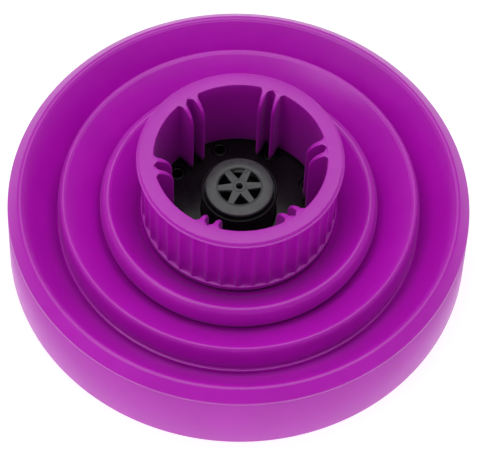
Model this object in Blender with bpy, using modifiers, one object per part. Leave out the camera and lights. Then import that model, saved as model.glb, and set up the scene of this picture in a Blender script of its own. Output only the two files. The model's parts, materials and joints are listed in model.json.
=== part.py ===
"""Collapsible hair dryer diffuser, folded flat.

A soft silicone bowl steps down from a wide rim to a fluted collar that grips
the dryer's barrel. Three thin webs between the stiff rings flip over, so the
collar can be pulled out or pushed flat. A domed black plate with hollow
fingers closes the hair side, and a vented stem stands in its middle.

Metres, +Z towards the dryer. The origin is the centre of the skirt's lower
edge, on the plane that the diffuser rests on with its hair side down.
"""

from math import cos, hypot, pi, radians, sin, sqrt

import bmesh
import bpy

MM = 0.001
GAP = 0.3 * MM

# Driving dimensions.
RIM_RADIUS = 77.0 * MM
RIM_EDGE_RADIUS = 76.8 * MM
SKIRT_HEIGHT = 25.0 * MM
SKIRT_WALL = 2.2 * MM
OUTER_CREST_RADIUS = 72.6 * MM
MIDDLE_CREST_RADIUS = 58.4 * MM
INNER_CREST_RADIUS = 43.6 * MM
CREST_HEIGHT = 28.6 * MM
STEP_WALL = 2.0 * MM
CREST_REACH = 1.2 * MM
FOOT_REACH = 2.1 * MM
WEB_THICKNESS = 1.2 * MM
TOTAL_HEIGHT = 51.0 * MM

COLLAR_BORE = 28.2 * MM
COLLAR_WALL_RADIUS = 32.4 * MM
COLLAR_LIP_RADIUS = 33.8 * MM
COLLAR_FOOT = 19.8 * MM
FLUTE_COUNT = 40
FLUTE_DEPTH = 0.8 * MM

FIN_PAIRS = 6
FIN_SPACING = 4.7 * MM
FIN_TIP_RADIUS = 22.2 * MM
FIN_ROOT_RADIUS = 1.2 * MM
FIN_TIP_HALF = 0.6 * MM
FIN_THROAT = 7.0 * MM

PLATE_RADIUS = RIM_RADIUS - SKIRT_WALL - GAP
PLATE_TOP = 18.8 * MM
PLATE_RISE = 7.9 * MM
PLATE_THICKNESS = 2.0 * MM
HOLE_RINGS = ((38.0 * MM, 18, 1.8 * MM), (63.0 * MM, 30, 1.9 * MM))

FINGER_RINGS = (("inner", 25.4 * MM, 9, 16.5), ("outer", 50.0 * MM, 15, 0.0))
FINGER_SPIGOT = 2.6 * MM
FINGER_BORE = 1.6 * MM
FINGER_BASE = 4.2 * MM
FINGER_TIP = 2.7 * MM
FINGER_TIP_HEIGHT = 1.0 * MM

STEM_RADIUS = 12.2 * MM
STEM_BORE = 9.5 * MM
STEM_TOP = 31.4 * MM
CAP_RADIUS = 11.3 * MM
CAP_TOP = 33.4 * MM
CAP_TURN = -2.5
VENT_RADIUS = 6.8 * MM
VENT_COUNT = 6
SPOKE_HALF = 0.9 * MM

BIG_STEPS = 48
SMALL_STEPS = 32
FINGER_STEPS = 8

SILICONE = ("purple_silicone", (0.44, 0.02, 0.45), 0.55)
BLACK = ("black_plastic", (0.012, 0.010, 0.012), 0.25)
GREY = ("dark_grey_plastic", (0.075, 0.078, 0.082), 0.4)


def clear_scene():
    for thing in list(bpy.data.objects):
        bpy.data.objects.remove(thing, do_unlink=True)


def new_collection(name):
    collection = bpy.data.collections.new(name)
    bpy.context.scene.collection.children.link(collection)
    return collection


def plastic(spec):
    """A plain moulded material from its name, colour and roughness."""
    name, colour, roughness = spec
    material = bpy.data.materials.get(name)
    if material is None:
        material = bpy.data.materials.new(name)
        material.use_nodes = True
        shader = material.node_tree.nodes["Principled BSDF"]
        shader.inputs["Base Color"].default_value = (*colour, 1.0)
        shader.inputs["Roughness"].default_value = roughness
        shader.inputs["Metallic"].default_value = 0.0
    return material


def add_object(name, data, collection, spec=None):
    thing = bpy.data.objects.new(name, data)
    collection.objects.link(thing)
    if spec is not None and not data.materials:
        data.materials.append(plastic(spec))
    return thing


def turned(name, outline, steps, collection, spec=None):
    """A body turned about Z from a closed outline of (radius, height) points.

    The outline runs down the outer side and back up the inner one.
    """
    mesh = bpy.data.meshes.new(name)
    points = [(radius, 0.0, height) for radius, height in outline]
    edges = [(i, (i + 1) % len(points)) for i in range(len(points))]
    mesh.from_pydata(points, edges, [])
    thing = add_object(name, mesh, collection, spec)
    screw = thing.modifiers.new("turn", "SCREW")
    screw.steps = steps
    screw.render_steps = steps
    screw.merge_threshold = 0.00001
    screw.use_smooth_shade = True
    return thing


def arc(centre, radii, start, end, count):
    """Points on an elliptical arc, angles in degrees, both ends included."""
    points = []
    for i in range(count + 1):
        angle = radians(start + (end - start) * i / count)
        points.append((centre[0] + radii[0] * cos(angle), centre[1] + radii[1] * sin(angle)))
    return points


def extruded(name, loops, low, high, collection, spec=None):
    """A flat outline with optional holes, raised from low to high as a closed mesh."""
    curve = bpy.data.curves.new(name, "CURVE")
    curve.dimensions = "2D"
    curve.fill_mode = "BOTH"
    curve.extrude = (high - low) / 2
    for loop in loops:
        spline = curve.splines.new("POLY")
        spline.points.add(len(loop) - 1)
        spline.use_cyclic_u = True
        for point, (x, y) in zip(spline.points, loop):
            point.co = (x, y, 0.0, 1.0)
    drawn = add_object(name + "_outline", curve, collection)
    evaluated = drawn.evaluated_get(bpy.context.evaluated_depsgraph_get())
    mesh = bpy.data.meshes.new_from_object(evaluated)
    bpy.data.objects.remove(drawn, do_unlink=True)
    shape = bmesh.new()
    shape.from_mesh(mesh)
    bmesh.ops.remove_doubles(shape, verts=shape.verts, dist=0.000001)
    bmesh.ops.translate(shape, verts=shape.verts, vec=(0.0, 0.0, (high + low) / 2))
    bmesh.ops.recalc_face_normals(shape, faces=shape.faces)
    shape.to_mesh(mesh)
    shape.free()
    mesh.name = name
    return add_object(name, mesh, collection, spec)


def hide_cutter(thing):
    thing.hide_render = True
    thing.display_type = "WIRE"


def boolean(thing, tool, operation):
    step = thing.modifiers.new(operation.lower(), "BOOLEAN")
    step.operation = operation
    step.object = tool


def bake(thing):
    """Replace an object's mesh by its evaluated one, so copies can share it."""
    evaluated = thing.evaluated_get(bpy.context.evaluated_depsgraph_get())
    mesh = bpy.data.meshes.new_from_object(evaluated)
    thing.modifiers.clear()
    thing.data = mesh
    return mesh


def plate_height(radius):
    """Top of the domed plate at a radius."""
    dome = (PLATE_RADIUS ** 2 + PLATE_RISE ** 2) / (2 * PLATE_RISE)
    return PLATE_TOP - dome + sqrt(dome ** 2 - radius ** 2)


def build_rim(parts):
    """Skirt, sloping top band and outer crest, with two beads that grip the plate."""
    inside = RIM_RADIUS - SKIRT_WALL
    edge = plate_height(PLATE_RADIUS)
    upper = edge + GAP
    lower = edge - PLATE_THICKNESS - GAP
    bead = inside - 1.2 * MM
    outline = arc((RIM_EDGE_RADIUS - 1.0 * MM, SKIRT_HEIGHT - 1.0 * MM), (1.0 * MM, 1.0 * MM), 50, 0, 2)
    outline += [(RIM_RADIUS + 0.4 * MM, 0.8 * MM), (RIM_RADIUS, 0.0)]
    outline += [(inside, 0.0), (inside, lower - 1.8 * MM), (bead, lower - 1.2 * MM), (bead, lower)]
    outline += [(inside, lower), (inside, upper), (bead, upper), (bead, upper + 1.2 * MM)]
    outline += [(inside, upper + 1.8 * MM), (inside, SKIRT_HEIGHT - 2.2 * MM)]
    outline += [(OUTER_CREST_RADIUS - 0.6 * MM, CREST_HEIGHT - 2.4 * MM)]
    outline += arc((OUTER_CREST_RADIUS, CREST_HEIGHT - 0.8 * MM), (0.6 * MM, 0.8 * MM), 170, 50, 3)
    turned("silicone_rim", outline, BIG_STEPS, parts, SILICONE)


def build_web(name, outer, inner, parts):
    """A thin flexible slope from (radius, height) at its crest down to its valley."""
    run = outer[0] - inner[0]
    depth = WEB_THICKNESS * hypot(run, outer[1] - inner[1]) / run
    outline = [outer, (outer[0], outer[1] - depth), (inner[0], inner[1] - depth), inner]
    turned(name, outline, BIG_STEPS, parts, SILICONE)


def build_step(name, crest, foot_height, parts):
    """A stiff ring: a steep wall with a rounded crest and a small foot bead."""
    top = CREST_HEIGHT - 0.8 * MM
    foot = crest + FOOT_REACH
    outline = arc((crest - 0.4 * MM, top), (0.8 * MM, 0.8 * MM), 100, 0, 3)
    outline += [(foot - 0.2 * MM, foot_height + 1.0 * MM), (foot, foot_height + 0.5 * MM)]
    outline += [(foot - 0.2 * MM, foot_height), (foot - STEP_WALL, foot_height)]
    outline += [(crest - CREST_REACH, top - 0.6 * MM)]
    turned(name, outline, BIG_STEPS, parts, SILICONE)


def build_folds(parts):
    """Two stiff rings and the three webs that hinge on them."""
    middle, inner = MIDDLE_CREST_RADIUS, INNER_CREST_RADIUS
    build_step("outer_step_ring", middle, plate_height(middle) + 1.4 * MM, parts)
    build_step("inner_step_ring", inner, plate_height(inner) + 1.4 * MM, parts)
    hinge = CREST_HEIGHT - 1.2 * MM
    webs = (("outer_fold_web", OUTER_CREST_RADIUS - 0.6 * MM, middle + FOOT_REACH),
            ("middle_fold_web", middle - CREST_REACH, inner + FOOT_REACH),
            ("inner_fold_web", inner - CREST_REACH, COLLAR_WALL_RADIUS))
    for name, start, end in webs:
        valley = plate_height(end) + 2.4 * MM
        build_web(name, (start - GAP, hinge), (end + GAP, valley), parts)


def flute_outline():
    """The collar wall's scalloped outline, four points to a flute."""
    count = FLUTE_COUNT * 4
    loop = []
    for i in range(count):
        angle = 2 * pi * i / count
        radius = COLLAR_WALL_RADIUS - FLUTE_DEPTH * (0.5 - 0.5 * cos(FLUTE_COUNT * angle))
        loop.append((radius * cos(angle), radius * sin(angle)))
    return loop


def ring_outline(radius, count):
    return [(radius * cos(2 * pi * i / count), radius * sin(2 * pi * i / count)) for i in range(count)]


def build_collar(parts, cutters):
    """Fluted wall joined to a flat top ring with a small lip."""
    lip_low = TOTAL_HEIGHT - 2.6 * MM
    bore = ring_outline(COLLAR_BORE, BIG_STEPS)
    collar = extruded("silicone_collar", [flute_outline(), bore], COLLAR_FOOT, lip_low + 1.0 * MM,
                      parts, SILICONE)
    middle = (COLLAR_BORE + COLLAR_WALL_RADIUS) / 2
    outline = [(COLLAR_LIP_RADIUS - 0.9 * MM, TOTAL_HEIGHT), (COLLAR_LIP_RADIUS, TOTAL_HEIGHT - 0.9 * MM)]
    outline += [(COLLAR_LIP_RADIUS, TOTAL_HEIGHT - 1.6 * MM), (COLLAR_WALL_RADIUS - 0.4 * MM, lip_low)]
    outline += [(middle, lip_low), (COLLAR_BORE, lip_low + 0.5 * MM)]
    outline += [(COLLAR_BORE, TOTAL_HEIGHT - 0.4 * MM), (COLLAR_BORE + 0.4 * MM, TOTAL_HEIGHT)]
    ring = turned("collar_ring_tool", outline, BIG_STEPS, cutters)
    hide_cutter(ring)
    boolean(collar, ring, "UNION")


def build_fins(parts, cutters):
    """Six pairs of soft fins; each one bends about its root."""
    pivot_radius = COLLAR_BORE - GAP - FIN_ROOT_RADIUS
    offset = FIN_SPACING / 2
    pivot_x = sqrt(pivot_radius ** 2 - offset ** 2)
    reach = pivot_x - sqrt(FIN_TIP_RADIUS ** 2 - offset ** 2)
    plan = arc((0.0, 0.0), (FIN_ROOT_RADIUS, FIN_ROOT_RADIUS), 90, 270, 6)
    plan += arc((reach - FIN_TIP_HALF, 0.0), (FIN_TIP_HALF, FIN_TIP_HALF), -90, 90, 4)
    blank = extruded("fin_blank", [plan], COLLAR_FOOT, TOTAL_HEIGHT, cutters, SILICONE)
    shoulder = TOTAL_HEIGHT - FIN_THROAT
    side = [(-2 * FIN_ROOT_RADIUS, TOTAL_HEIGHT + 1.0 * MM)]
    side += arc((0.0, shoulder), (reach, FIN_THROAT), 90, 0, 6)
    side += [(reach + 1.0 * MM, shoulder), (reach + 1.0 * MM, TOTAL_HEIGHT + 1.0 * MM)]
    throat = extruded("fin_throat_cutter", [side], -3.0 * MM, 3.0 * MM, cutters)
    throat.rotation_euler = (pi / 2, 0.0, 0.0)
    bpy.context.view_layer.update()
    boolean(blank, throat, "DIFFERENCE")
    mesh = bake(blank)
    hide_cutter(blank)
    hide_cutter(throat)
    for pair in range(FIN_PAIRS):
        turn = 2 * pi * pair / FIN_PAIRS
        for side_name, shift in (("a", -offset), ("b", offset)):
            fin = add_object(f"grip_fin_{pair + 1}{side_name}", mesh, parts)
            fin.location = (pivot_x * cos(turn) - shift * sin(turn),
                            pivot_x * sin(turn) + shift * cos(turn), 0.0)
            fin.rotation_euler = (0.0, 0.0, turn + pi)


def hole_cutter(name, radius, place, sides, cutters):
    """A vertical drill of one radius standing through the plate at a point."""
    shape = bmesh.new()
    bmesh.ops.create_cone(shape, cap_ends=True, segments=sides, radius1=radius, radius2=radius,
                          depth=30.0 * MM)
    mesh = bpy.data.meshes.new(name)
    shape.to_mesh(mesh)
    shape.free()
    drill = add_object(name, mesh, cutters)
    drill.location = (*place, PLATE_TOP)
    hide_cutter(drill)
    return drill


def on_ring(radius, index, count, start):
    angle = radians(start) + 2 * pi * index / count
    return (radius * cos(angle), radius * sin(angle))


def build_plate(parts, cutters):
    """Domed disc with a centre hole, finger sockets and air holes."""
    stops = 4
    inner = STEM_BORE + 0.8 * MM
    radii = [inner + (PLATE_RADIUS - inner) * i / stops for i in range(stops + 1)]
    outline = [(radius, plate_height(radius)) for radius in radii]
    outline += [(radius, plate_height(radius) - PLATE_THICKNESS) for radius in reversed(radii)]
    plate = turned("diffuser_plate", outline, BIG_STEPS, parts, BLACK)
    drills = new_collection("plate_drills")
    for ring, radius, count, start in FINGER_RINGS:
        for i in range(count):
            place = on_ring(radius, i, count, start)
            hole_cutter(f"socket_{ring}_{i + 1}", FINGER_SPIGOT + GAP, place, FINGER_STEPS, drills)
    for ring, (radius, count, hole) in enumerate(HOLE_RINGS):
        for i in range(count):
            place = on_ring(radius, i, count, 180 / count)
            hole_cutter(f"air_hole_{ring + 1}_{i + 1}", hole, place, 6, drills)
    drill = plate.modifiers.new("drill", "BOOLEAN")
    drill.operation = "DIFFERENCE"
    drill.operand_type = "COLLECTION"
    drill.collection = drills


def build_fingers(parts):
    """Hollow tapering fingers, each with a spigot up through the plate."""
    for ring, radius, count, start in FINGER_RINGS:
        top = plate_height(radius + FINGER_SPIGOT) - 0.1 * MM
        shoulder = plate_height(radius + FINGER_BASE) - PLATE_THICKNESS - GAP
        tip = FINGER_TIP_HEIGHT
        outline = [(FINGER_SPIGOT, top), (FINGER_SPIGOT, shoulder), (FINGER_BASE, shoulder)]
        outline += [(FINGER_BASE - 0.7 * MM, shoulder - 1.6 * MM)]
        outline += arc((FINGER_TIP - 1.2 * MM, tip + 1.4 * MM), (1.2 * MM, 1.4 * MM), 0, -85, 2)
        outline += [(FINGER_BORE - 0.5 * MM, tip + 0.1 * MM), (FINGER_BORE, top)]
        pattern = turned(f"finger_{ring}_1", outline, FINGER_STEPS, parts, BLACK)
        mesh = bake(pattern)
        pattern.location = (*on_ring(radius, 0, count, start), 0.0)
        for i in range(1, count):
            finger = add_object(f"finger_{ring}_{i + 1}", mesh, parts)
            finger.location = (*on_ring(radius, i, count, start), 0.0)


def build_centre(parts):
    """Hollow stem above the plate and the large hollow finger below it."""
    base = PLATE_TOP + GAP
    under = plate_height(STEM_RADIUS) - PLATE_THICKNESS - GAP
    spigot = STEM_BORE + 0.5 * MM
    outline = [(STEM_RADIUS - 0.4 * MM, STEM_TOP), (STEM_RADIUS + 0.5 * MM, STEM_TOP - 0.5 * MM)]
    outline += [(STEM_RADIUS + 0.5 * MM, STEM_TOP - 1.4 * MM), (STEM_RADIUS, STEM_TOP - 1.8 * MM)]
    outline += [(STEM_RADIUS, base + 1.5 * MM), (STEM_RADIUS + 0.6 * MM, base), (spigot, base)]
    outline += [(spigot, under + GAP), (STEM_BORE, under + GAP), (STEM_BORE, STEM_TOP)]
    turned("centre_stem", outline, SMALL_STEPS, parts, BLACK)
    tip = FINGER_TIP_HEIGHT
    outline = [(STEM_RADIUS, under), (STEM_RADIUS, under - 1.4 * MM), (8.6 * MM, under - 2.2 * MM)]
    outline += arc((5.4 * MM, tip + 2.0 * MM), (1.8 * MM, 2.0 * MM), 0, -80, 3)
    outline += [(3.6 * MM, tip + 0.2 * MM), (4.6 * MM, tip + 2.5 * MM), (6.4 * MM, under)]
    turned("centre_finger", outline, SMALL_STEPS, parts, BLACK)


def vent_outline(turn):
    """A wedge between two spokes: two straight sides and a round outer one."""
    half = pi / VENT_COUNT
    apex = SPOKE_HALF / sin(half) + 1.0 * MM
    near = half - (SPOKE_HALF + 0.1 * MM) / VENT_RADIUS
    loop = [(apex, 0.0)]
    for i in range(5):
        angle = -near + 2 * near * i / 4
        loop.append((VENT_RADIUS * cos(angle), VENT_RADIUS * sin(angle)))
    return [(x * cos(turn) - y * sin(turn), x * sin(turn) + y * cos(turn)) for x, y in loop]


def build_cap(parts, cutters):
    """Flat round cap with a recessed vent grille, plugged into the stem's top."""
    under = STEM_TOP + GAP
    plug = STEM_BORE - GAP
    recess = CAP_TOP - 0.4 * MM
    outline = [(CAP_RADIUS - 0.5 * MM, CAP_TOP), (CAP_RADIUS, CAP_TOP - 0.5 * MM), (CAP_RADIUS, under)]
    outline += [(plug, under), (plug, under - 3.5 * MM), (plug - 1.2 * MM, under - 3.5 * MM)]
    outline += [(plug - 1.2 * MM, under), (1.1 * MM, under), (1.1 * MM, recess + 0.2 * MM)]
    outline += [(2.2 * MM, recess + 0.2 * MM), (2.3 * MM, recess), (VENT_RADIUS + 0.3 * MM, recess)]
    outline += [(VENT_RADIUS + 0.7 * MM, CAP_TOP)]
    cap = turned("vent_cap", outline, SMALL_STEPS, parts, GREY)
    wedges = new_collection("vent_cutters")
    for i in range(VENT_COUNT):
        turn = radians(CAP_TURN) + 2 * pi * (i + 0.5) / VENT_COUNT
        wedge = extruded(f"vent_cutter_{i + 1}", [vent_outline(turn)], under - 1.0 * MM,
                         CAP_TOP + 1.0 * MM, wedges)
        hide_cutter(wedge)
    cut = cap.modifiers.new("vents", "BOOLEAN")
    cut.operation = "DIFFERENCE"
    cut.operand_type = "COLLECTION"
    cut.collection = wedges


def smooth_round_pieces(parts):
    for thing in parts.objects:
        thing.data.shade_smooth()
        thing.data.set_sharp_from_angle(angle=radians(35))


def main():
    clear_scene()
    parts = new_collection("dryer_diffuser")
    cutters = new_collection("cutters")
    build_rim(parts)
    build_folds(parts)
    build_collar(parts, cutters)
    build_fins(parts, cutters)
    build_plate(parts, cutters)
    build_fingers(parts)
    build_centre(parts)
    build_cap(parts, cutters)
    smooth_round_pieces(parts)


main()
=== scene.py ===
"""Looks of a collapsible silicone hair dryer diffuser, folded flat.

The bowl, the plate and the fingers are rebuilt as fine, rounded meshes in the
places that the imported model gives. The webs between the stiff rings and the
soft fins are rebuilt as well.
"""

import json
from math import acos, cos, hypot, pi, radians, sin, sqrt, tan

import bmesh
import bpy
import numpy as np
from mathutils import Matrix, Vector


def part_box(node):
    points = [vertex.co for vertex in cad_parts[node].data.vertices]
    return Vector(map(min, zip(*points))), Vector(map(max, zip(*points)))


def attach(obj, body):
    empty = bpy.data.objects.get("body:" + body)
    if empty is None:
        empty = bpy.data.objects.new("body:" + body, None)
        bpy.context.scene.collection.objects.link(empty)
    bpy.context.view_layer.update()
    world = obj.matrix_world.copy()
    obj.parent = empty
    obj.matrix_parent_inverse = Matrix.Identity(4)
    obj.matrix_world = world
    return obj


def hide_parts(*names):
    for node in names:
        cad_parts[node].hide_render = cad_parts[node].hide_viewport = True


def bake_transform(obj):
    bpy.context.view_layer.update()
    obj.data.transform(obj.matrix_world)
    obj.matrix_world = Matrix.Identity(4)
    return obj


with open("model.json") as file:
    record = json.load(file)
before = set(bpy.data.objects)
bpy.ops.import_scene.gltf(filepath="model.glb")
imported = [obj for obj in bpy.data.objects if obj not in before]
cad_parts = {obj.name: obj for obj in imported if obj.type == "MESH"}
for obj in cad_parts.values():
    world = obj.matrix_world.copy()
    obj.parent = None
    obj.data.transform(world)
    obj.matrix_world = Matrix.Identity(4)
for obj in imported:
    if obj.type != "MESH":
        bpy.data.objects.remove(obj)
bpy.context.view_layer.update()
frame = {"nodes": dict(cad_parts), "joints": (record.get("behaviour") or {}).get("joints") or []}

MM = 0.001


def reach(node):
    """Radius of a node that stands on the axis."""
    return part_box(node)[1][0]


def top(node):
    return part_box(node)[1][2]


def foot(node):
    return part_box(node)[0][2]


GAP = 0.3 * MM
TURNS = 240

# Skirt, folds and webs
RIM_FOOT = reach("silicone_rim")
RIM = RIM_FOOT - 0.6 * MM
SKIRT_HEIGHT = 25.0 * MM
SKIRT_INSIDE = reach("diffuser_plate") + GAP
EDGE = SKIRT_HEIGHT + 0.3 * MM
CREST = top("silicone_rim")
CREST_ROUND = 1.4 * MM
STEP_OVERHANG = 2.1 * MM
WEB = 1.2 * MM
WEB_BULGE = 2.2 * MM

# Collar and fins
FLUTES = 40
FLUTE_DEPTH = 1.15 * MM
LIP = reach("silicone_collar")
WALL = LIP - 1.4 * MM
GROOVE_LOW = foot("silicone_collar") + 3.1 * MM
GROOVE_HIGH = top("silicone_collar") - 2.3 * MM
BORE = 28.2 * MM
FIN_PAIRS = 6
FIN_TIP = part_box("grip_fin_1a")[0][0]
FIN_ROOT = 1.9 * MM
FIN_EDGE = 1.1 * MM
FIN_FLARE = 1.1 * MM
FIN_THROAT = 7.0 * MM

# Where each crest's rounding has its centre, and where each web meets the ring inside it
CREST_CENTRE = {
    "rim": np.array((reach("outer_fold_web") + 0.9 * MM, CREST - CREST_ROUND)),
    "outer_step": np.array((reach("outer_step_ring") - STEP_OVERHANG, CREST - CREST_ROUND)),
    "inner_step": np.array((reach("inner_step_ring") - STEP_OVERHANG, CREST - CREST_ROUND)),
}
VALLEY = {
    "outer_step": (reach("outer_step_ring") + GAP, foot("outer_step_ring") + 0.4 * MM),
    "inner_step": (reach("inner_step_ring") + GAP, foot("inner_step_ring") + 0.6 * MM),
    "collar": (WALL + 0.8 * MM, foot("silicone_collar") - 1.3 * MM),
}

# Plate, fingers, stem and cap
PLATE_TOP = 18.8 * MM
PLATE_THICKNESS = 2.0 * MM
PLATE_EDGE = reach("diffuser_plate")
PLATE_RISE = PLATE_TOP - foot("diffuser_plate") - PLATE_THICKNESS
PLATE_DOME = (PLATE_EDGE ** 2 + PLATE_RISE ** 2) / (2 * PLATE_RISE)
SOCKET = 2.9 * MM
AIR_HOLES = ((38.0 * MM, 18, 1.8 * MM), (63.0 * MM, 30, 1.9 * MM))
FINGER_LOW = 1.0 * MM
STEM = reach("centre_stem") - 0.6 * MM
STEM_BORE = 9.5 * MM
CAP = reach("vent_cap")
CAP_TOP = top("vent_cap")
CAP_TURN = radians(-2.5)
CAP_DOME = 0.6 * MM
VENT = 7.1 * MM
SPOKE = 0.9 * MM
SPOKES = 6


# Mesh building


def unit(vector):
    return vector / np.linalg.norm(vector)


def rounded(corners, steps=5):
    """A closed outline whose (radius, height, fillet) corners are rounded with arcs."""
    outline = []
    for i, (radius, height, fillet) in enumerate(corners):
        corner = np.array((radius, height))
        if fillet == 0.0:
            outline.append(corner)
            continue
        back = unit(np.array(corners[i - 1][:2]) - corner)
        ahead = unit(np.array(corners[(i + 1) % len(corners)][:2]) - corner)
        half = acos(np.clip(back @ ahead, -1.0, 1.0)) / 2
        centre = corner + unit(back + ahead) * fillet / sin(half)
        start = corner + back * fillet / tan(half) - centre
        end = corner + ahead * fillet / tan(half) - centre
        sweep = pi - 2 * half
        for k in range(steps + 1):
            share = k / steps
            turned = (sin((1 - share) * sweep) * start + sin(share * sweep) * end) / sin(sweep)
            outline.append(centre + turned)
    return np.array(outline)


def finish_mesh(name, points, faces, material):
    mesh = bpy.data.meshes.new(name)
    mesh.from_pydata([tuple(point) for point in points], [], faces)
    mesh.validate()
    mesh.shade_smooth()
    mesh.materials.append(material)
    piece = bpy.data.objects.new(name, mesh)
    bpy.context.scene.collection.objects.link(piece)
    return piece


def revolve(name, outline, material, turns=TURNS, radius_at=None):
    """A closed ring turned about Z from an outline that runs down its outer side."""
    count = len(outline)
    points = []
    for i in range(turns):
        angle = 2 * pi * i / turns
        for radius, height in outline:
            if radius_at is not None:
                radius = radius_at(radius, height, angle)
            points.append((radius * cos(angle), radius * sin(angle), height))
    faces = []
    for i in range(turns):
        ahead = (i + 1) % turns
        for j in range(count):
            below = (j + 1) % count
            faces.append((i * count + j, i * count + below, ahead * count + below, ahead * count + j))
    return finish_mesh(name, points, faces, material)


def extruded(name, loops, low, high, edge, material):
    """A flat outline with holes, raised from low to high with its edges rounded."""
    curve = bpy.data.curves.new(name, "CURVE")
    curve.dimensions = "2D"
    curve.fill_mode = "BOTH"
    curve.extrude = (high - low) / 2 - edge
    curve.bevel_depth = edge
    curve.bevel_resolution = 2
    curve.offset = -edge
    for loop in loops:
        spline = curve.splines.new("POLY")
        spline.points.add(len(loop) - 1)
        spline.use_cyclic_u = True
        for point, (x, y) in zip(spline.points, loop):
            point.co = (x, y, 0.0, 1.0)
    drawn = bpy.data.objects.new(name + "_outline", curve)
    bpy.context.scene.collection.objects.link(drawn)
    mesh = bpy.data.meshes.new_from_object(drawn.evaluated_get(bpy.context.evaluated_depsgraph_get()))
    bpy.data.objects.remove(drawn, do_unlink=True)
    shape = bmesh.new()
    shape.from_mesh(mesh)
    bmesh.ops.remove_doubles(shape, verts=shape.verts, dist=0.002 * MM)
    bmesh.ops.translate(shape, verts=shape.verts, vec=(0.0, 0.0, (low + high) / 2))
    bmesh.ops.recalc_face_normals(shape, faces=shape.faces)
    shape.to_mesh(mesh)
    shape.free()
    mesh.shade_smooth()
    mesh.set_sharp_from_angle(angle=radians(35))
    mesh.materials.clear()
    mesh.materials.append(material)
    piece = bpy.data.objects.new(name, mesh)
    bpy.context.scene.collection.objects.link(piece)
    return piece


def circle(radius, count):
    angles = [2 * pi * i / count for i in range(count)]
    return [(radius * cos(angle), radius * sin(angle)) for angle in angles]


def drilled(piece, places):
    """Cut upright round holes, given as (x, y, radius), through a piece."""
    shape = bmesh.new()
    for x, y, radius in places:
        middle = Matrix.Translation((x, y, PLATE_TOP))
        bmesh.ops.create_cone(shape, cap_ends=True, segments=32, radius1=radius, radius2=radius,
                              depth=60 * MM, matrix=middle)
    mesh = bpy.data.meshes.new("drill")
    shape.to_mesh(mesh)
    shape.free()
    drill = bpy.data.objects.new("drill", mesh)
    bpy.context.scene.collection.objects.link(drill)
    cut = piece.modifiers.new("holes", "BOOLEAN")
    cut.operation = "DIFFERENCE"
    cut.object = drill
    evaluated = piece.evaluated_get(bpy.context.evaluated_depsgraph_get())
    holed = bpy.data.meshes.new_from_object(evaluated)
    piece.modifiers.clear()
    piece.data = holed
    holed.shade_smooth()
    holed.set_sharp_from_angle(angle=radians(30))
    bpy.data.objects.remove(drill, do_unlink=True)


def placed(piece, body, slot, *nodes):
    """Ride a piece on its body in place of the CAD nodes that it stands for."""
    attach(piece, body)
    if nodes:
        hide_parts(*nodes)


# Materials


def shader_of(name):
    material = bpy.data.materials.new(name)
    material.use_nodes = True
    return material, material.node_tree, material.node_tree.nodes["Principled BSDF"]


def noise(tree, scale, detail=3.0, roughness=0.5):
    """Noise in the object's own metres, so it has the same grain on every piece."""
    where = tree.nodes.new("ShaderNodeTexCoord")
    texture = tree.nodes.new("ShaderNodeTexNoise")
    texture.inputs["Scale"].default_value = scale
    texture.inputs["Detail"].default_value = detail
    texture.inputs["Roughness"].default_value = roughness
    tree.links.new(where.outputs["Object"], texture.inputs["Vector"])
    return texture.outputs["Fac"]


def spread(tree, value, low, high, to_low, to_high):
    """Map a value from one range to another, held at its ends."""
    step = tree.nodes.new("ShaderNodeMapRange")
    step.inputs["From Min"].default_value = low
    step.inputs["From Max"].default_value = high
    step.inputs["To Min"].default_value = to_low
    step.inputs["To Max"].default_value = to_high
    tree.links.new(value, step.inputs["Value"])
    return step.outputs["Result"]


def mixed(tree, share, first, second):
    """A colour between two, by a share that is a socket."""
    mix = tree.nodes.new("ShaderNodeMix")
    mix.data_type = "RGBA"
    tree.links.new(share, mix.inputs["Factor"])
    for socket, colour in (("A", first), ("B", second)):
        target = next(item for item in mix.inputs if item.name == socket and item.type == "RGBA")
        if isinstance(colour, tuple):
            target.default_value = (*colour, 1.0)
        else:
            tree.links.new(colour, target)
    return next(item for item in mix.outputs if item.type == "RGBA")


def bumped(tree, shader, height, distance, strength, below=None):
    bump = tree.nodes.new("ShaderNodeBump")
    bump.inputs["Distance"].default_value = distance
    bump.inputs["Strength"].default_value = strength
    tree.links.new(height, bump.inputs["Height"])
    if below is not None:
        tree.links.new(below, bump.inputs["Normal"])
    tree.links.new(bump.outputs["Normal"], shader.inputs["Normal"])
    return bump.outputs["Normal"]


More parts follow.
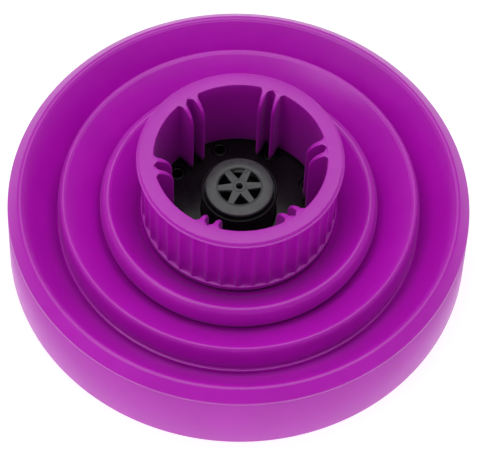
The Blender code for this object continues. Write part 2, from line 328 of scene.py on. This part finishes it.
def silicone():
    """Soft purple silicone with a fine eggshell skin, faint mottling and a few specks of dust."""
    material, tree, shader = shader_of("purple_silicone")
    mottle = spread(tree, noise(tree, 55.0, 4.0), 0.3, 0.7, 0.0, 1.0)
    purple = mixed(tree, mottle, (0.575, 0.0028, 0.580), (0.630, 0.0040, 0.636))
    cells = tree.nodes.new("ShaderNodeTexVoronoi")
    cells.inputs["Scale"].default_value = 260.0
    where = tree.nodes.new("ShaderNodeTexCoord")
    tree.links.new(where.outputs["Object"], cells.inputs["Vector"])
    speck = spread(tree, cells.outputs["Distance"], 0.03, 0.06, 0.5, 0.0)
    rare = spread(tree, noise(tree, 90.0, 0.0), 0.66, 0.7, 0.0, 1.0)
    dust = tree.nodes.new("ShaderNodeMath")
    dust.operation = "MULTIPLY"
    tree.links.new(speck, dust.inputs[0])
    tree.links.new(rare, dust.inputs[1])
    dusty = mixed(tree, dust.outputs[0], purple, (0.62, 0.22, 0.62))
    tree.links.new(dusty, shader.inputs["Base Color"])
    satin = spread(tree, noise(tree, 240.0, 3.0), 0.25, 0.75, 0.28, 0.38)
    tree.links.new(satin, shader.inputs["Roughness"])
    shader.inputs["Specular IOR Level"].default_value = 0.65
    shader.inputs["Sheen Weight"].default_value = 0.06
    shader.inputs["Sheen Roughness"].default_value = 0.4
    waves = bumped(tree, shader, noise(tree, 70.0, 2.0), 0.25 * MM, 0.15)
    bumped(tree, shader, noise(tree, 2600.0, 2.0), 0.02 * MM, 0.13, waves)
    return material


def black_plastic():
    """Glossy black moulding with slight ripples and an uneven gloss."""
    material, tree, shader = shader_of("black_plastic")
    tone = spread(tree, noise(tree, 120.0, 4.0), 0.35, 0.65, 0.0, 1.0)
    tree.links.new(mixed(tree, tone, (0.007, 0.006, 0.007), (0.011, 0.010, 0.011)),
                   shader.inputs["Base Color"])
    shader.inputs["Specular IOR Level"].default_value = 0.25
    gloss = spread(tree, noise(tree, 500.0, 5.0, 0.7), 0.3, 0.75, 0.16, 0.3)
    tree.links.new(gloss, shader.inputs["Roughness"])
    ripple = bumped(tree, shader, noise(tree, 90.0, 2.0), 0.2 * MM, 0.2)
    bumped(tree, shader, noise(tree, 1800.0, 2.0), 0.01 * MM, 0.3, ripple)
    return material


def grey_plastic():
    """Satin dark grey moulding with faint turned rings from its mould."""
    material, tree, shader = shader_of("dark_grey_plastic")
    tone = spread(tree, noise(tree, 300.0, 4.0), 0.3, 0.7, 0.0, 1.0)
    tree.links.new(mixed(tree, tone, (0.054, 0.055, 0.058), (0.074, 0.075, 0.079)),
                   shader.inputs["Base Color"])
    where = tree.nodes.new("ShaderNodeTexCoord")
    rings = tree.nodes.new("ShaderNodeTexWave")
    rings.wave_type = "RINGS"
    rings.rings_direction = "Z"
    rings.inputs["Scale"].default_value = 420.0
    rings.inputs["Distortion"].default_value = 0.6
    rings.inputs["Detail"].default_value = 2.0
    tree.links.new(where.outputs["Object"], rings.inputs["Vector"])
    satin = spread(tree, noise(tree, 700.0, 4.0), 0.3, 0.7, 0.26, 0.36)
    tree.links.new(satin, shader.inputs["Roughness"])
    turned = bumped(tree, shader, rings.outputs["Fac"], 0.01 * MM, 0.25)
    bumped(tree, shader, noise(tree, 2200.0, 2.0), 0.01 * MM, 0.3, turned)
    return material


def paper():
    """Matt white floor that glows a little, so that it stays white beside the object."""
    material, tree, shader = shader_of("white_floor")
    tone = spread(tree, noise(tree, 8.0, 2.0), 0.3, 0.7, 0.0, 1.0)
    tree.links.new(mixed(tree, tone, (0.50, 0.50, 0.50), (0.52, 0.52, 0.52)),
                   shader.inputs["Base Color"])
    shader.inputs["Roughness"].default_value = 0.9
    shader.inputs["Specular IOR Level"].default_value = 0.1
    shader.inputs["Emission Color"].default_value = (1.0, 1.0, 1.0, 1.0)
    shader.inputs["Emission Strength"].default_value = 0.78
    return material


SILICONE = silicone()
BLACK = black_plastic()
GREY = grey_plastic()


# Silicone bowl


def plate_height(radius):
    """Top of the domed plate at a radius."""
    return PLATE_TOP - PLATE_DOME + sqrt(PLATE_DOME ** 2 - radius ** 2)


def aim(foot_body):
    """Where a web heads as it leaves its crest: above its foot, since the web bulges."""
    radius, height = VALLEY[foot_body]
    return np.array((radius, height + WEB_BULGE))


def touching(point, body, side):
    """Angle at which a line from a point touches the rounding of a ring's crest."""
    away = np.array(point) - CREST_CENTRE[body]
    swing = acos(CREST_ROUND / np.linalg.norm(away))
    return np.arctan2(away[1], away[0]) % (2 * pi) - side * swing


def on_crest(body, angle, sunk=0.0):
    """A point of a crest's rounding, or just below it."""
    return CREST_CENTRE[body] + (CREST_ROUND - sunk) * np.array((cos(angle), sin(angle)))


def crest_corners(body, foot_body, start):
    """Outline corners from deep under a web, up and over the crest to a start angle."""
    touch = touching(aim(foot_body), body, 1)
    run = unit(aim(foot_body) - on_crest(body, touch))
    deep = on_crest(body, touch) + run * 0.8 * MM - (0.0, 1.4 * MM)
    tucked = on_crest(body, touch) + run * 0.35 * MM - (0.0, 0.1 * MM)
    corners = [(*deep, 0.2 * MM), (*tucked, 0.0)]
    steps = 9
    for k in range(steps + 1):
        corners.append((*on_crest(body, touch + (start - touch) * k / steps), 0.0))
    return corners


def build_rim():
    """Skirt, sloping top band and the crest that the outer web hinges on."""
    inside = SKIRT_INSIDE
    edge = plate_height(PLATE_EDGE)
    low_bead = edge - PLATE_THICKNESS - GAP
    bead = inside - 1.2 * MM
    corners = [(RIM - 0.05 * MM, EDGE, 0.7 * MM), (RIM, EDGE - 0.75 * MM, 0.0)]
    corners += [(RIM - 0.2 * MM, EDGE - 0.95 * MM, 0.0), (RIM + 0.02 * MM, EDGE - 1.15 * MM, 0.0)]
    corners += [(RIM_FOOT, 0.0, 0.25 * MM), (inside, 0.0, 0.5 * MM)]
    corners += [(inside, low_bead - 1.8 * MM, 0.5 * MM), (bead, low_bead - 1.2 * MM, 0.4 * MM)]
    corners += [(bead, low_bead, 0.3 * MM), (inside, low_bead, 0.0), (inside, edge + GAP, 0.0)]
    corners += [(bead, edge + GAP, 0.3 * MM), (bead, edge + 1.5 * MM, 0.4 * MM)]
    corners += [(inside, edge + 2.1 * MM, 0.5 * MM), (inside, EDGE - 2.6 * MM, 1.0 * MM)]
    band = touching((RIM, EDGE), "rim", -1) - 2 * pi
    corners += crest_corners("rim", "outer_step", band)
    rim = revolve("rim_and_skirt", rounded(corners, 7), SILICONE)
    placed(rim, "bowl_base", "purple_silicone", "silicone_rim")


def build_web(name, node, ring, inner_body):
    """A flexible slope from a ring's crest down to the ring inside it.

    It leaves the crest's rounding, bulges a little and runs on under the inner ring.
    """
    touch = touching(aim(inner_body), ring, 1)
    start = on_crest(ring, touch)
    valley = np.array(VALLEY[inner_body])
    steps = 24
    outline = [on_crest(ring, touch - 0.35, 0.3 * MM)]
    for k in range(steps + 1):
        share = k / steps
        bulge = WEB_BULGE * share * (1 - share)
        outline.append(start + (valley - start) * share + (0.0, bulge - 0.01 * MM))
    outline.append(valley + (-2.0 * MM, -0.3 * MM))
    below = [point - (0.0, WEB) for point in reversed(outline)]
    web = revolve(name, list(reversed(outline + below)), SILICONE)
    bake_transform(web)
    for vertex in web.data.vertices:
        share = (start[0] - hypot(vertex.co.x, vertex.co.y)) / (start[0] - valley[0])
    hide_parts(node)


def build_step(name, node, inner_body, bulge, middle, recess, bead):
    """A stiff ring whose wall bulges below the crest and turns in again at its foot.

    The bulge is counted from the ring's outer radius, and the middle of the wall and the top
    of its bead from the foot. A bead of 0 leaves the foot plain.
    """
    outer = reach(node)
    low = foot(node)
    crest = CREST_CENTRE[name][0]
    steps = 12
    corners = []
    for k in range(1, steps + 1):
        angle = pi / 2 * k / steps
        rise = middle + (CREST - low - middle) * cos(angle)
        corners.append((crest + (outer + bulge - crest) * sin(angle), low + rise, 0.0))
    steps = 8
    for k in range(1, steps + 1):
        drop = k / steps
        corners.append((outer + bulge - recess * drop ** 2, low + middle - (middle - bead) * drop, 0.0))
    if bead:
        corners += [(outer, low + bead - 0.35 * MM, 0.25 * MM), (outer, low, 0.5 * MM)]
    corners += [(outer - 2.4 * MM, low, 0.5 * MM)]
    corners += crest_corners(name, inner_body, pi / 2)
    ring = revolve(name, rounded(corners, 7), SILICONE)
    placed(ring, name, "purple_silicone", node)


def build_bowl():
    """The skirt, the two stiff steps and the three webs that fold between them and the collar."""
    build_rim()
    build_step("outer_step", "outer_step_ring", "inner_step", -0.2 * MM, 6.8 * MM, 1.1 * MM, 2.0 * MM)
    build_step("inner_step", "inner_step_ring", "collar", 0.55 * MM, 6.0 * MM, 1.9 * MM, 0.0)
    build_web("outer_web", "outer_fold_web", "rim", "outer_step")
    build_web("middle_web", "middle_fold_web", "outer_step", "inner_step")
    build_web("inner_web", "inner_fold_web", "inner_step", "collar")


def flute_radius(radius, height, angle):
    """Push the wall in along rounded grooves between a foot ring and the lip."""
    if radius < WALL - 1.5 * MM or not GROOVE_LOW <= height <= GROOVE_HIGH:
        return radius
    across = abs(((angle * FLUTES / (2 * pi)) % 1.0) - 0.5) * 2
    groove = max(0.0, 1.0 - (across / 0.86) ** 2) ** 0.7
    run_out = min(1.0, (GROOVE_HIGH - height) / (2.0 * MM))
    return radius - FLUTE_DEPTH * groove * run_out


def build_collar():
    """Grooved wall on a smooth foot ring, under a flat top ring with a thin bead."""
    low = foot("silicone_collar")
    high = top("silicone_collar")
    corners = [(LIP - 0.8 * MM, high, 0.3 * MM), (LIP - 0.65 * MM, high - 1.4 * MM, 0.15 * MM)]
    corners += [(LIP, high - 1.5 * MM, 0.2 * MM), (LIP, high - 1.95 * MM, 0.2 * MM)]
    corners += [(WALL, high - 2.3 * MM, 0.2 * MM)]
    corners += [(WALL, high - 2.4 * MM - 2.0 * MM * k / 4, 0.0) for k in range(5)]
    corners += [(WALL, GROOVE_LOW + 0.5 * MM, 0.0), (WALL, GROOVE_LOW + 0.02 * MM, 0.0)]
    corners += [(WALL + 0.15 * MM, GROOVE_LOW - 0.02 * MM, 0.0)]
    corners += [(WALL + 0.3 * MM, GROOVE_LOW - 0.2 * MM, 0.1 * MM)]
    corners += [(WALL, low + 0.9 * MM, 0.4 * MM)]
    corners += [(WALL - 1.3 * MM, low + 0.2 * MM, 0.3 * MM), (WALL - 1.3 * MM, low - 1.7 * MM, 0.2 * MM)]
    corners += [(BORE + 0.6 * MM, low - 1.7 * MM, 0.2 * MM), (BORE + 0.3 * MM, low, 0.4 * MM)]
    corners += [(BORE, high, 0.35 * MM)]
    collar = revolve("collar", rounded(corners), SILICONE, turns=FLUTES * 16, radius_at=flute_radius)
    collar.data.set_sharp_from_angle(angle=radians(50))
    placed(collar, "collar", "purple_silicone", "silicone_collar")


# Grip fins


def fin_half_width(inward, length):
    """Half the fin's thickness at a distance from the wall, flared at its root."""
    inward = max(0.0, inward)
    half = (FIN_ROOT + (FIN_EDGE - FIN_ROOT) * min(1.0, inward / length)) / 2
    if inward < FIN_FLARE:
        half += FIN_FLARE - sqrt(FIN_FLARE ** 2 - (FIN_FLARE - inward) ** 2)
    return half


def fin_mesh(name, length, low, high):
    """A soft fin in its own frame: x runs inward from the bore's wall, y across."""
    shoulder = high - FIN_THROAT
    levels = [low + (shoulder - low) * k / 10 for k in range(10)]
    levels += [high - FIN_THROAT * (1 - sin(pi / 2 * k / 14)) for k in range(15)]
    around = 12
    points = []
    for height in levels:
        rise = max(0.0, height - shoulder) / FIN_THROAT
        span = max(0.25 * MM, length * sqrt(max(0.0, 1 - rise ** 2)))
        tip = min(span, fin_half_width(span, length))
        side = [(-0.6 * MM, fin_half_width(0.0, length))]
        for k in range(around):
            inward = (span - tip) * (k / (around - 1)) ** 1.6
            side.append((inward, fin_half_width(inward, length)))
        narrow = side[-1][1]
        for k in range(1, 6):
            angle = pi / 2 * k / 5
            side.append((span - tip + tip * sin(angle), narrow * cos(angle)))
        points += [(x, -y, height) for x, y in side]
        points += [(x, y, height) for x, y in reversed(side[:-1])]
    ring = 2 * (around + 6) - 1
    faces = []
    for level in range(len(levels) - 1):
        for k in range(ring):
            ahead = (k + 1) % ring
            base = level * ring
            faces.append((base + k, base + ahead, base + ring + ahead, base + ring + k))
    faces.append(tuple(reversed(range(ring))))
    faces.append(tuple((len(levels) - 1) * ring + k for k in range(ring)))
    return finish_mesh(name, points, faces, SILICONE)


def build_fins():
    """Six pairs of fins, each standing on the bore's wall in line with its bend joint."""
    low = foot("silicone_collar") + 0.1 * MM
    high = top("silicone_collar") - 0.02 * MM
    joints = {joint["name"]: joint for joint in frame["joints"]}
    for pair in range(1, FIN_PAIRS + 1):
        for side in "ab":
            body = f"fin_{pair}{side}"
            pivot = joints[body + "_bend"]["pos_m"]
            turn = 2 * pi * (pair - 1) / FIN_PAIRS
            outward = Vector((cos(turn), sin(turn), 0.0))
            across = Vector((-sin(turn), cos(turn), 0.0))
            offset = across.dot(Vector(pivot))
            wall = sqrt(BORE ** 2 - offset ** 2)
            fin = fin_mesh(body + "_skin", wall - FIN_TIP, low, high)
            root = outward * wall + across * offset
            fin.matrix_world = Matrix.Translation(root) @ Matrix.Rotation(turn + pi, 4, "Z")
            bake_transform(fin)
            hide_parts(f"grip_fin_{pair}{side}")


# Plastic plate, stem, cap and fingers


def finger_places():
    """Every finger's node with its place."""
    places = []
    for node in frame["nodes"]:
        if node.startswith("finger_"):
            low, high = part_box(node)
            places.append((node, (low[0] + high[0]) / 2, (low[1] + high[1]) / 2))
    return places


def build_plate():
    """Domed glossy disc with finger sockets and air holes."""
    inner = reach("centre_stem") - 2.4 * MM
    stops = 26
    radii = [inner + (PLATE_EDGE - inner) * k / stops for k in range(stops + 1)]
    outline = [(radius, plate_height(radius)) for radius in radii]
    outline += [(radius, plate_height(radius) - PLATE_THICKNESS) for radius in reversed(radii)]
    plate = revolve("plate", outline, BLACK, turns=144)
    holes = [(x, y, SOCKET) for _, x, y in finger_places()]
    for radius, count, hole in AIR_HOLES:
        for k in range(count):
            angle = pi / count + 2 * pi * k / count
            holes.append((radius * cos(angle), radius * sin(angle), hole))
    drilled(plate, holes)
    placed(plate, "bowl_base", "black_plastic", "diffuser_plate")


def finger_outline(radius):
    """A hollow finger at a distance from the axis: spigot, flange, taper and round tip."""
    head = plate_height(radius) + 0.05 * MM
    under = plate_height(radius + 4.2 * MM) - PLATE_THICKNESS
    corners = [(2.6 * MM, head, 0.3 * MM), (2.6 * MM, under + 0.4 * MM, 0.0)]
    corners += [(4.2 * MM, under + 0.4 * MM, 0.1 * MM), (4.2 * MM, under - 0.7 * MM, 0.4 * MM)]
    corners += [(3.5 * MM, under - 1.7 * MM, 0.7 * MM), (2.7 * MM, FINGER_LOW, 1.0 * MM)]
    corners += [(1.1 * MM, FINGER_LOW, 0.4 * MM), (1.6 * MM, head, 0.3 * MM)]
    return rounded(corners)


def build_fingers():
    shapes = {}
    for node, x, y in finger_places():
        ring = node.split("_")[1]
        if ring not in shapes:
            shapes[ring] = revolve(node + "_skin", finger_outline(hypot(x, y)), BLACK, turns=40)
            finger = shapes[ring]
        else:
            finger = bpy.data.objects.new(node + "_skin", shapes[ring].data)
            bpy.context.scene.collection.objects.link(finger)
        finger.location = (x, y, 0.0)
        placed(finger, "bowl_base", "black_plastic", node)


def build_stem():
    """Round stem with a flange under the cap, and the large finger below it."""
    base = PLATE_TOP + 0.05 * MM
    head = top("centre_stem")
    under = plate_height(STEM) - PLATE_THICKNESS
    corners = [(STEM + 0.45 * MM, head - 0.5 * MM, 0.3 * MM), (STEM + 0.45 * MM, head - 1.3 * MM, 0.3 * MM)]
    corners += [(STEM - 0.1 * MM, head - 1.5 * MM, 0.3 * MM), (STEM, base + 1.5 * MM, 1.0 * MM)]
    corners += [(STEM + 0.8 * MM, base - 0.3 * MM, 0.3 * MM), (STEM_BORE + 0.5 * MM, base - 0.3 * MM, 0.0)]
    corners += [(STEM_BORE + 0.5 * MM, under, 0.0), (STEM_BORE, under, 0.0)]
    corners += [(STEM_BORE, head - 0.8 * MM, 0.0)]
    corners += [(STEM - 0.3 * MM, head - 0.8 * MM, 0.1 * MM), (STEM, head - 0.1 * MM, 0.2 * MM)]
    placed(revolve("stem", rounded(corners), BLACK, turns=128), "bowl_base", "black_plastic", "centre_stem")
    corners = [(STEM, under - 0.1 * MM, 0.3 * MM), (STEM, under - 1.4 * MM, 0.5 * MM)]
    corners += [(8.6 * MM, under - 2.2 * MM, 1.0 * MM), (7.2 * MM, FINGER_LOW, 1.6 * MM)]
    corners += [(3.8 * MM, FINGER_LOW, 0.7 * MM), (6.4 * MM, under - 0.1 * MM, 0.4 * MM)]
    placed(revolve("centre_finger_skin", rounded(corners), BLACK, turns=96), "bowl_base",
           "black_plastic", "centre_finger")


def vent_loop(turn):
    """A wedge between two spokes with a rounded outer side."""
    half = pi / SPOKES
    apex = SPOKE / sin(half) + 1.0 * MM
    near = half - (SPOKE + 0.1 * MM) / VENT
    loop = [(apex, 0.0)]
    for k in range(13):
        angle = -near + 2 * near * k / 12
        loop.append((VENT * cos(angle), VENT * sin(angle)))
    return [(x * cos(turn) - y * sin(turn), x * sin(turn) + y * cos(turn)) for x, y in loop]


def build_cap():
    """Satin cap: a broad, slightly domed ring around a sunk grille of wedge vents, and its boss."""
    under = top("centre_stem") + GAP
    sunk = CAP_TOP - 0.2 * MM
    flat = VENT + 0.6 * MM
    plug = STEM_BORE - GAP
    corners = []
    for k in range(6):
        share = k / 6
        corners.append((flat + (CAP - flat) * share, CAP_TOP - CAP_DOME * share ** 2, 0.0))
    corners += [(CAP, CAP_TOP - CAP_DOME, 0.5 * MM), (CAP, under, 0.2 * MM), (plug, under, 0.0)]
    corners += [(plug, foot("vent_cap"), 0.3 * MM), (VENT + 1.2 * MM, foot("vent_cap"), 0.3 * MM)]
    corners += [(VENT + 0.15 * MM, sunk - 0.9 * MM, 0.0), (VENT + 0.15 * MM, sunk, 0.0)]
    corners += [(VENT + 0.35 * MM, CAP_TOP - 0.1 * MM, 0.0)]
    ring = revolve("cap_ring", rounded(corners), GREY, turns=128)
    placed(ring, "bowl_base", "dark_grey_plastic", "vent_cap")
    loops = [circle(VENT + 0.45 * MM, 96), circle(1.1 * MM, 32)]
    loops += [vent_loop(CAP_TURN + pi / SPOKES * (1 + 2 * k)) for k in range(SPOKES)]
    grille = extruded("cap_grille", loops, sunk - 1.3 * MM, sunk, 0.1 * MM, GREY)
    placed(grille, "bowl_base", "dark_grey_plastic")
    boss = [(2.1 * MM, sunk + 0.2 * MM, 0.2 * MM), (2.3 * MM, sunk - 0.3 * MM, 0.0)]
    boss += [(1.15 * MM, sunk - 0.3 * MM, 0.0), (1.15 * MM, sunk + 0.2 * MM, 0.15 * MM)]
    placed(revolve("cap_boss", rounded(boss), GREY, turns=48), "bowl_base", "dark_grey_plastic")


# Stage


def build_stage():
    """A white floor that sweeps up into a low wall all round, under a dim even sky."""
    white = paper()
    level = -0.05 * MM
    start = 2.45
    bend = 0.4
    thickness = 0.01
    bpy.ops.mesh.primitive_plane_add(size=5.0, location=(0.0, 0.0, level))
    floor = bpy.context.object
    floor.name = "floor"
    floor.data.materials.append(white)
    steps = 12
    inner, outer = [], []
    for k in range(steps + 1):
        angle = pi / 2 * k / steps
        for side, radius in ((inner, bend), (outer, bend + thickness)):
            side.append((start + radius * sin(angle), level + bend - radius * cos(angle)))
    revolve("sweep", list(reversed(outer)) + inner, white, turns=96)
    world = bpy.data.worlds.new("studio")
    bpy.context.scene.world = world
    world.use_nodes = True
    backdrop = world.node_tree.nodes["Background"]
    backdrop.inputs["Color"].default_value = (1.0, 1.0, 1.0, 1.0)
    backdrop.inputs["Strength"].default_value = 0.2


def softbox(name, place, size, power):
    """A square area light that faces the object."""
    data = bpy.data.lights.new(name, "AREA")
    data.size = size
    data.energy = power
    lamp = bpy.data.objects.new(name, data)
    lamp.location = place
    lamp.rotation_euler = (-Vector(place)).to_track_quat("-Z", "Y").to_euler()
    bpy.context.scene.collection.objects.link(lamp)


def build_camera():
    """A long lens from the dryer's side, high in front, turned a little about its axis."""
    azimuth = radians(-100.0)
    elevation = radians(57.6)
    away = 0.798
    middle = Vector((0.0, 0.0, SKIRT_HEIGHT))
    direction = Vector((cos(elevation) * cos(azimuth), cos(elevation) * sin(azimuth), sin(elevation)))
    data = bpy.data.cameras.new("camera")
    data.lens = 179.2
    data.sensor_width = 36.0
    data.clip_start = 0.01
    camera = bpy.data.objects.new("camera", data)
    bpy.context.scene.collection.objects.link(camera)
    look = (-direction).to_track_quat("-Z", "Y").to_matrix().to_4x4()
    tilt = Matrix.Rotation(radians(-0.61), 4, "X")
    pan = Matrix.Rotation(radians(-0.05), 4, "Y")
    roll = Matrix.Rotation(radians(2.35), 4, "Z")
    camera.matrix_world = Matrix.Translation(middle + direction * away) @ look @ roll @ tilt @ pan
    bpy.context.scene.camera = camera


build_camera()
build_stage()
softbox("overhead", (0.0, 0.16, 1.2), 1.4, 8.7)
softbox("key", (-0.7, -0.25, 0.9), 0.45, 1.0)
build_bowl()
build_collar()
build_fins()
build_plate()
build_fingers()
build_stem()
build_cap()
bpy.context.scene.view_settings.view_transform = "Standard"
